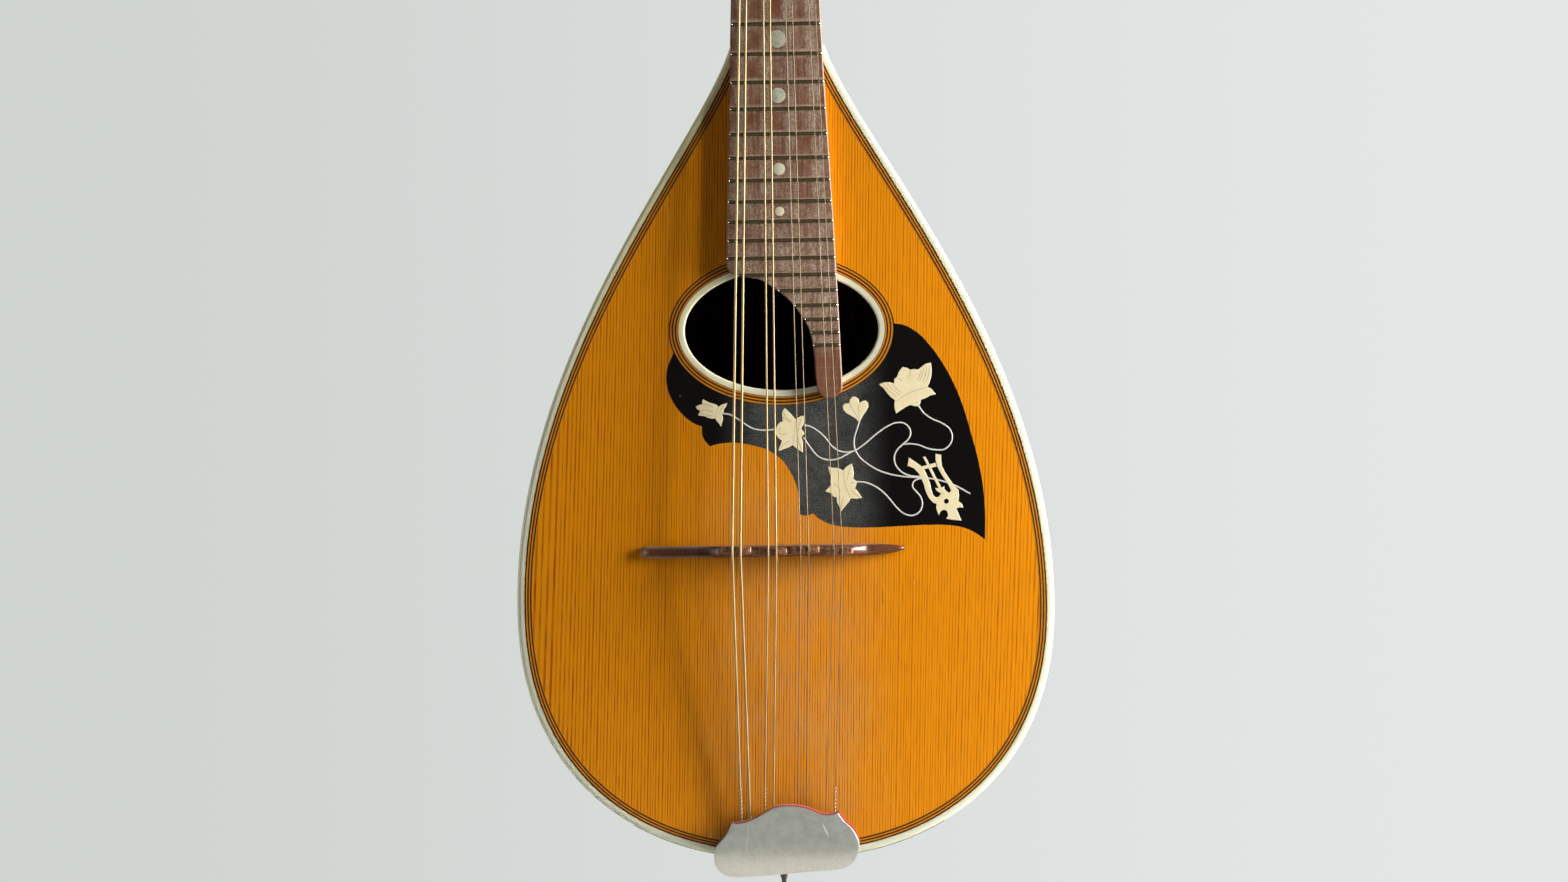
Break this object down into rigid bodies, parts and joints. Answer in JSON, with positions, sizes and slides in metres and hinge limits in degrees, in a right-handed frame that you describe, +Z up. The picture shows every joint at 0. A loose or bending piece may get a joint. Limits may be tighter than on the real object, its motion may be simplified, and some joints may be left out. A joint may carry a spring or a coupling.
{
  "type": "bowl back mandolin",
  "caption": "Bowl back mandolin with canted soundboard, oval soundhole, inlaid pickguard, paired strings, floating bridge, pressed tailpiece cover and worm geared tuners.",
  "frame": {"origin": "on the centre line at the nut's lower edge, in the plane of the soundboard's face, where a hanger's fork holds the neck", "axes": "+Z up the neck, +X across the strings to the treble side, the front faces -Y and the bowl swells towards +Y"},
  "size_m": [0.2042, 0.153, 0.6105],
  "materials": {
    "spruce_top": "old amber varnish over straight grained spruce, satin",
    "inner_spruce": "raw spruce",
    "cream_binding": "aged cream binding",
    "purfling_lines": "thin dark and light lines of dyed wood",
    "black_guard": "polished black with fine pale specks and pale flower inlay",
    "rib_rosewood": "varnished rosewood staves",
    "neck_wood": "varnished neck wood",
    "rosewood": "dusty open grained rosewood",
    "bridge_rosewood": "worn rosewood",
    "bone": "bone",
    "nickel_sheet": "pressed nickel plated sheet, brushed and scratched",
    "red_felt": "red felt",
    "ebony": "polished ebony",
    "machine_brass": "stamped brass, dulled",
    "post_steel": "turned steel",
    "bronze_wire": "wound bronze",
    "steel_wire": "plain steel wire"
  },
  "bodies": {
    "instrument": {"soundboard": "spruce_top", "edge_binding": "cream_binding", "edge_purfling": "purfling_lines", "soundhole_binding": "cream_binding", "rosette": "purfling_lines", "pickguard": "black_guard", "neck_block": "inner_spruce", "tail_block": "inner_spruce", "rim_lining_bass": "inner_spruce", "rim_lining_treble": "inner_spruce", "cross_brace_1": "inner_spruce", "cross_brace_2": "inner_spruce", "cross_brace_3": "inner_spruce", "tail_clasp": "rib_rosewood", "neck": "neck_wood", "head_veneer": "rosewood", "fingerboard": "rosewood", "nut": "bone", "bridge": "bridge_rosewood", "tailpiece_plate": "nickel_sheet", "end_pin": "ebony", "tuner_plate_bass": "machine_brass", "tuner_plate_treble": "machine_brass", "rib_01": "rib_rosewood", "rib_02": "rib_rosewood", "rib_03": "rib_rosewood", "rib_04": "rib_rosewood", "rib_05": "rib_rosewood", "rib_06": "rib_rosewood", "rib_07": "rib_rosewood", "rib_08": "rib_rosewood", "rib_09": "rib_rosewood", "rib_10": "rib_rosewood", "rib_11": "rib_rosewood", "string_g1": "bronze_wire", "string_g2": "bronze_wire", "string_d1": "bronze_wire", "string_d2": "bronze_wire", "string_a1": "steel_wire", "string_a2": "steel_wire", "string_e1": "steel_wire", "string_e2": "steel_wire"},
    "cover": {"tailpiece_cover": "nickel_sheet", "cover_felt": "red_felt"},
    "key_g1": {"tuner_key_g1": "bone"},
    "post_g1": {"string_post_g1": "post_steel"},
    "key_g2": {"tuner_key_g2": "bone"},
    "post_g2": {"string_post_g2": "post_steel"},
    "key_d1": {"tuner_key_d1": "bone"},
    "post_d1": {"string_post_d1": "post_steel"},
    "key_d2": {"tuner_key_d2": "bone"},
    "post_d2": {"string_post_d2": "post_steel"},
    "key_a1": {"tuner_key_a1": "bone"},
    "post_a1": {"string_post_a1": "post_steel"},
    "key_a2": {"tuner_key_a2": "bone"},
    "post_a2": {"string_post_a2": "post_steel"},
    "key_e1": {"tuner_key_e1": "bone"},
    "post_e1": {"string_post_e1": "post_steel"},
    "key_e2": {"tuner_key_e2": "bone"},
    "post_e2": {"string_post_e2": "post_steel"}
  },
  "joints": [
    {"name": "cover_pull", "type": "slide", "parent": "instrument", "child": "cover", "axis": [0, -0.9969, -0.0785], "range_m": [0, 0.06]},
    {"name": "key_turn_g1", "type": "hinge", "parent": "instrument", "child": "key_g1", "pos_m": [-0.0155, 0.02531, 0.0355], "axis": [-1, 0, 0], "continuous": true},
    {"name": "post_turn_g1", "type": "hinge", "parent": "instrument", "child": "post_g1", "pos_m": [-0.0155, 0.00777, 0.03378], "axis": [0, 0.9659, -0.2588], "continuous": true},
    {"name": "key_turn_g2", "type": "hinge", "parent": "instrument", "child": "key_g2", "pos_m": [-0.0155, 0.03152, 0.05868], "axis": [-1, 0, 0], "continuous": true},
    {"name": "post_turn_g2", "type": "hinge", "parent": "instrument", "child": "post_g2", "pos_m": [-0.0155, 0.01398, 0.05696], "axis": [0, 0.9659, -0.2588], "continuous": true},
    {"name": "key_turn_d1", "type": "hinge", "parent": "instrument", "child": "key_d1", "pos_m": [-0.0155, 0.03773, 0.08186], "axis": [-1, 0, 0], "continuous": true},
    {"name": "post_turn_d1", "type": "hinge", "parent": "instrument", "child": "post_d1", "pos_m": [-0.0155, 0.02019, 0.08014], "axis": [0, 0.9659, -0.2588], "continuous": true},
    {"name": "key_turn_d2", "type": "hinge", "parent": "instrument", "child": "key_d2", "pos_m": [-0.0155, 0.04394, 0.10504], "axis": [-1, 0, 0], "continuous": true},
    {"name": "post_turn_d2", "type": "hinge", "parent": "instrument", "child": "post_d2", "pos_m": [-0.0155, 0.0264, 0.10332], "axis": [0, 0.9659, -0.2588], "continuous": true},
    {"name": "key_turn_a1", "type": "hinge", "parent": "instrument", "child": "key_a1", "pos_m": [0.0155, 0.04394, 0.10504], "axis": [1, 0, 0], "continuous": true},
    {"name": "post_turn_a1", "type": "hinge", "parent": "instrument", "child": "post_a1", "pos_m": [0.0155, 0.0264, 0.10332], "axis": [0, 0.9659, -0.2588], "continuous": true},
    {"name": "key_turn_a2", "type": "hinge", "parent": "instrument", "child": "key_a2", "pos_m": [0.0155, 0.03773, 0.08186], "axis": [1, 0, 0], "continuous": true},
    {"name": "post_turn_a2", "type": "hinge", "parent": "instrument", "child": "post_a2", "pos_m": [0.0155, 0.02019, 0.08014], "axis": [0, 0.9659, -0.2588], "continuous": true},
    {"name": "key_turn_e1", "type": "hinge", "parent": "instrument", "child": "key_e1", "pos_m": [0.0155, 0.03152, 0.05868], "axis": [1, 0, 0], "continuous": true},
    {"name": "post_turn_e1", "type": "hinge", "parent": "instrument", "child": "post_e1", "pos_m": [0.0155, 0.01398, 0.05696], "axis": [0, 0.9659, -0.2588], "continuous": true},
    {"name": "key_turn_e2", "type": "hinge", "parent": "instrument", "child": "key_e2", "pos_m": [0.0155, 0.02531, 0.0355], "axis": [1, 0, 0], "continuous": true},
    {"name": "post_turn_e2", "type": "hinge", "parent": "instrument", "child": "post_e2", "pos_m": [0.0155, 0.00777, 0.03378], "axis": [0, 0.9659, -0.2588], "continuous": true}
  ],
  "couplings": [
    {"joint": "post_turn_g1", "follows": "key_turn_g1", "ratio": 0.071429},
    {"joint": "post_turn_g2", "follows": "key_turn_g2", "ratio": 0.071429},
    {"joint": "post_turn_d1", "follows": "key_turn_d1", "ratio": 0.071429},
    {"joint": "post_turn_d2", "follows": "key_turn_d2", "ratio": 0.071429},
    {"joint": "post_turn_a1", "follows": "key_turn_a1", "ratio": -0.071429},
    {"joint": "post_turn_a2", "follows": "key_turn_a2", "ratio": -0.071429},
    {"joint": "post_turn_e1", "follows": "key_turn_e1", "ratio": -0.071429},
    {"joint": "post_turn_e2", "follows": "key_turn_e2", "ratio": -0.071429}
  ]
}
